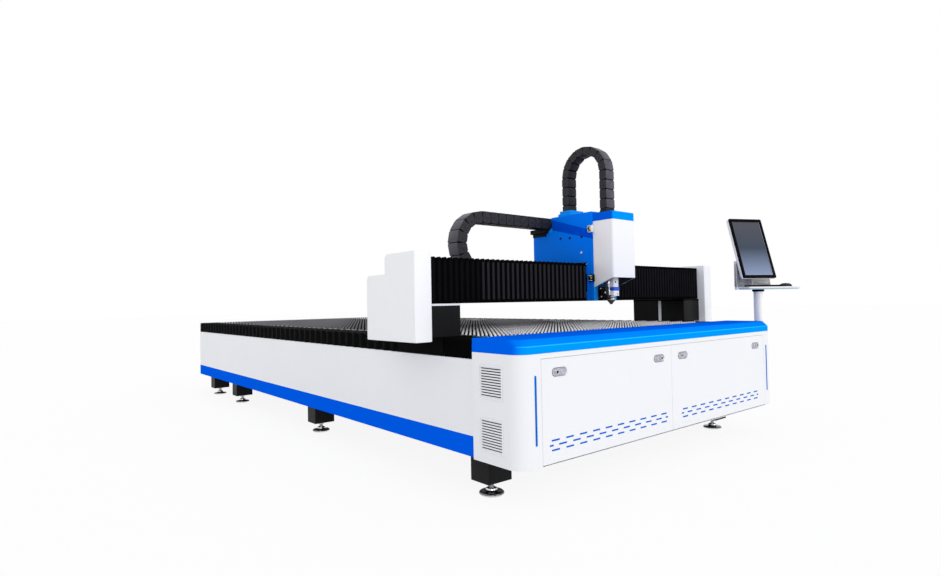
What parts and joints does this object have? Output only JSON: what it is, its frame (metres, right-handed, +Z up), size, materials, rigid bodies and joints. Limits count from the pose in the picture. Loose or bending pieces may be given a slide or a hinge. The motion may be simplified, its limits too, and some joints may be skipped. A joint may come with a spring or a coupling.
{
  "type": "fiber laser cutting machine",
  "caption": "Flat-bed fiber laser cutting machine: white bed with a toothed slat table, black-bellows gantry with a blue carriage, cable chains and an operator console.",
  "frame": {"origin": "centre of the sole of the front left levelling foot, on the floor", "axes": "+X to the operator's right across the bed, +Y from the front cabinet to the rear, +Z up"},
  "size_m": [2.8162, 5.0133, 1.832],
  "materials": {
    "white_paint": "satin powder coat",
    "blue_paint": "satin powder coat",
    "black_paint": "matt powder coat",
    "bellows_black": "coated pleated fabric",
    "chain_plastic": "moulded nylon",
    "machined_steel": "ground",
    "zinc_steel": "zinc plated",
    "slat_steel": "laser-cut plate",
    "tray_steel": "painted sheet",
    "chrome": "polished",
    "black_plastic": "moulded",
    "white_plastic": "moulded",
    "blue_plastic": "moulded",
    "head_cream": "satin",
    "nozzle_metal": "turned",
    "plug_brass": "turned",
    "screen_glass": "glossy panel",
    "cast_aluminium": "machined",
    "tray_paint": "satin"
  },
  "bodies": {
    "machine": {"bed_frame": "black_paint", "levelling_feet": "chrome", "foot_nuts": "zinc_steel", "side_panels": "white_paint", "skirts": "blue_paint", "rear_panel": "white_paint", "guide_rails": "machined_steel", "table_frame": "white_paint", "slats": "slat_steel", "slag_trays": "tray_steel", "cabinet": "white_paint", "hood": "blue_paint", "accent_strips": "blue_paint", "door_hinge_pins": "zinc_steel", "laser_source": "tray_paint", "control_plate": "zinc_steel", "power_gland": "black_plastic", "console_pole": "white_paint", "front_rail_bellows": "bellows_black", "rear_rail_bellows": "bellows_black"},
    "left_door": {"left_door": "white_paint", "left_door_backing": "blue_paint", "left_door_lock_plates": "chrome"},
    "right_door": {"right_door": "white_paint", "right_door_backing": "blue_paint", "right_door_lock_plates": "chrome"},
    "left_lock_1": {"left_door_lock_1": "black_paint"},
    "left_lock_2": {"left_door_lock_2": "black_paint"},
    "right_lock_1": {"right_door_lock_1": "black_paint"},
    "right_lock_2": {"right_door_lock_2": "black_paint"},
    "gantry": {"saddles": "black_paint", "legs": "black_paint", "leg_plates": "white_paint", "y_motors": "black_paint", "beam": "black_paint", "beam_rails": "machined_steel", "left_end_cover": "white_paint", "right_end_cover": "white_paint", "left_beam_bellows": "bellows_black", "right_beam_bellows": "bellows_black", "beam_chain": "chain_plastic"},
    "carriage": {"carriage_housing": "blue_paint", "carriage_plate": "cast_aluminium", "x_motor": "black_paint", "chain_bracket": "black_paint", "connectors": "plug_brass", "z_rails": "machined_steel", "head_chain": "chain_plastic"},
    "z_unit": {"z_slide": "cast_aluminium", "z_cover": "white_paint", "z_cap": "blue_paint", "laser_head": "head_cream", "head_ring": "blue_plastic", "nozzle": "nozzle_metal"},
    "console": {"console_tray": "white_paint", "keyboard": "black_plastic", "mouse": "black_plastic", "monitor_bracket": "white_paint"},
    "monitor": {"monitor_case": "white_plastic", "monitor_screen": "screen_glass"}
  },
  "joints": [
    {"name": "left_door_drop", "type": "hinge", "parent": "machine", "child": "left_door", "pos_m": [0.53938, -0.281, 0.188], "axis": [1, 0, 0], "range_deg": [0, 90]},
    {"name": "right_door_drop", "type": "hinge", "parent": "machine", "child": "right_door", "pos_m": [1.58563, -0.281, 0.188], "axis": [1, 0, 0], "range_deg": [0, 90]},
    {"name": "left_lock_1_turn", "type": "hinge", "parent": "left_door", "child": "left_lock_1", "pos_m": [0.1355, -0.29, 0.568], "axis": [0, 1, 0], "range_deg": [0, 90]},
    {"name": "left_lock_2_turn", "type": "hinge", "parent": "left_door", "child": "left_lock_2", "pos_m": [0.94325, -0.29, 0.568], "axis": [0, -1, 0], "range_deg": [0, 90]},
    {"name": "right_lock_1_turn", "type": "hinge", "parent": "right_door", "child": "right_lock_1", "pos_m": [1.13675, -0.29, 0.568], "axis": [0, 1, 0], "range_deg": [0, 90]},
    {"name": "right_lock_2_turn", "type": "hinge", "parent": "right_door", "child": "right_lock_2", "pos_m": [2.0345, -0.29, 0.568], "axis": [0, -1, 0], "range_deg": [0, 90]},
    {"name": "gantry_travel", "type": "slide", "parent": "machine", "child": "gantry", "axis": [0, 1, 0], "range_m": [0, 3.05], "deforming": ["front_rail_bellows", "rear_rail_bellows"]},
    {"name": "carriage_travel", "type": "slide", "parent": "gantry", "child": "carriage", "axis": [1, 0, 0], "range_m": [-0.775, 0.725], "deforming": ["left_beam_bellows", "right_beam_bellows", "beam_chain"]},
    {"name": "head_travel", "type": "slide", "parent": "carriage", "child": "z_unit", "axis": [0, 0, 1], "range_m": [-0.12, 0], "deforming": ["head_chain"]},
    {"name": "console_swivel", "type": "hinge", "parent": "machine", "child": "console", "pos_m": [2.3, -0.193, 0.917], "axis": [0, 0, 1], "range_deg": [-60, 35]},
    {"name": "monitor_tilt", "type": "hinge", "parent": "console", "child": "monitor", "pos_m": [2.26814, -0.1542, 1.142], "axis": [0.9114, -0.4115, 0], "range_deg": [-20, 5]}
  ]
}
